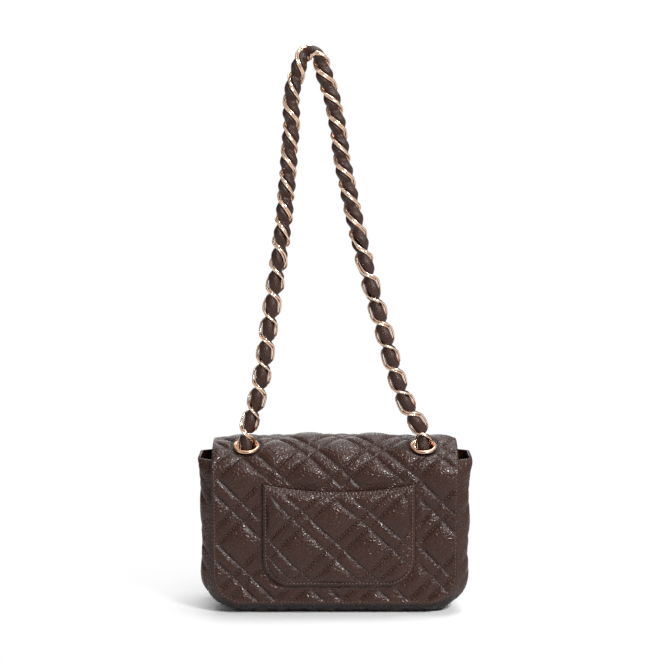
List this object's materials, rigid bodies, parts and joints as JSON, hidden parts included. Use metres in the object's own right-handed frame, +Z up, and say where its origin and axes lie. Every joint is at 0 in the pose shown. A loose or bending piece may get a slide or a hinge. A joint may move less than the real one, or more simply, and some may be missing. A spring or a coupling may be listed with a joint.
{
  "type": "flap bag",
  "caption": "Small quilted leather flap bag with a back pocket, a turn lock and a long chain strap laced with leather, standing up.",
  "frame": {"origin": "centre of the bounding box in X and Y, at the height of the surface that the bag stands on", "axes": "+Z up, +X along the bag's width, the back with its patch pocket faces -Y, and the flap and its lock face +Y"},
  "size_m": [0.201, 0.0858, 0.4109],
  "materials": {
    "leather": "dark brown pebbled leather with a soft sheen",
    "lining_cloth": "matt woven lining",
    "board": "plain stiffener board",
    "gold_metal": "polished pale rose gold plate"
  },
  "bodies": {
    "root": {"back_panel": "leather", "front_panel": "leather", "gusset": "leather", "base_board": "board", "back_board": "board", "front_board": "board", "back_facing": "leather", "lining": "lining_cloth", "slip_pocket": "lining_cloth", "back_pocket": "leather", "eyelet_left": "gold_metal", "eyelet_right": "gold_metal", "eyelet_washer_left": "gold_metal", "eyelet_washer_right": "gold_metal", "strap_tab_left": "leather", "strap_tab_right": "leather", "strap_end_left": "gold_metal", "strap_end_right": "gold_metal", "lace_end_left": "leather", "lace_end_right": "leather", "lock_base": "gold_metal", "lock_washer": "gold_metal"},
    "flap": {"flap_panel": "leather", "flap_board": "board", "flap_lining": "lining_cloth", "lock_plate": "gold_metal", "lock_rivet_left": "gold_metal", "lock_rivet_right": "gold_metal"},
    "lock": {"lock_toggle": "gold_metal"},
    "strap": {"strap_chain_01": "gold_metal", "strap_chain_02": "gold_metal", "strap_chain_03": "gold_metal", "strap_chain_04": "gold_metal", "strap_chain_05": "gold_metal", "strap_chain_06": "gold_metal", "strap_chain_07": "gold_metal", "strap_chain_08": "gold_metal", "strap_chain_09": "gold_metal", "strap_chain_10": "gold_metal", "strap_chain_11": "gold_metal", "strap_lace_outer": "leather", "strap_lace_inner": "leather"}
  },
  "joints": [
    {"name": "flap_hinge", "type": "hinge", "parent": "root", "child": "flap", "pos_m": [0, -0.00838, 0.12705], "axis": [1, 0, 0], "range_deg": [0, 85]},
    {"name": "lock_turn", "type": "hinge", "parent": "root", "child": "lock", "pos_m": [0, 0.02984, 0.034], "axis": [0, 0.9982, 0.0599], "range_deg": [0, 90]},
    {"name": "strap_swing", "type": "hinge", "parent": "root", "child": "strap", "pos_m": [0, -0.01813, 0.13239], "axis": [1, 0, 0], "range_deg": [-20, 100]}
  ]
}
